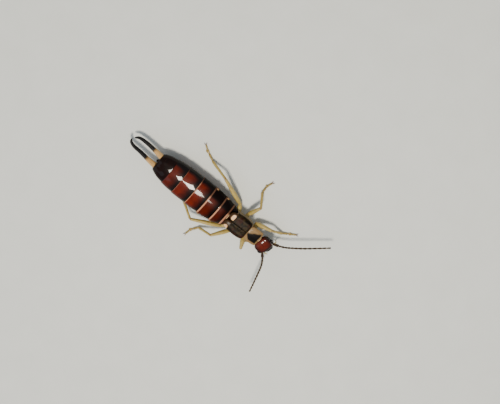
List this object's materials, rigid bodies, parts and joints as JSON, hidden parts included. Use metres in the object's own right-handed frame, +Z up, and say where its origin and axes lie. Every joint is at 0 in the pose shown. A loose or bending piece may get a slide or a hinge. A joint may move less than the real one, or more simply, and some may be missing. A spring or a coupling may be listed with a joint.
{
  "type": "earwig",
  "caption": "Life-size still model of an adult female earwig standing on six feet, forceps shut, head turned a little to its right.",
  "frame": {"origin": "on the floor, under the middle of the whole animal's box", "axes": "+Z up, +Y from the head to the forceps, +X towards the animal's left"},
  "size_m": [0.0106, 0.0224, 0.0023],
  "materials": {
    "head_shell": "polished red-brown shell",
    "eye": "faceted near-black",
    "antenna": "matt dark brown, finely haired",
    "palp": "satin straw-yellow",
    "pronotum": "glossy dark centre with pale straw edges",
    "thorax": "satin brown",
    "wing_case": "satin olive-brown",
    "wing_tip": "satin pale tan",
    "abdomen_shell": "polished red-brown with dark bands and pale hind margins",
    "anal_shell": "polished near-black brown",
    "forceps": "polished, tan roots and near-black blades",
    "leg": "satin straw-yellow"
  },
  "bodies": {
    "root": {"head": "head_shell", "eye_left": "eye", "eye_right": "eye", "antenna_left": "antenna", "antenna_right": "antenna", "palp_left": "palp", "palp_right": "palp", "pronotum": "pronotum", "thorax": "thorax", "tegmen_left": "wing_case", "tegmen_right": "wing_case", "squama_left": "wing_tip", "squama_right": "wing_tip", "abdomen": "abdomen_shell", "anal_segment": "anal_shell", "forceps_left": "forceps", "forceps_right": "forceps", "foreleg_left": "leg", "foreleg_right": "leg", "midleg_left": "leg", "midleg_right": "leg", "hindleg_left": "leg", "hindleg_right": "leg"}
  },
  "joints": []
}
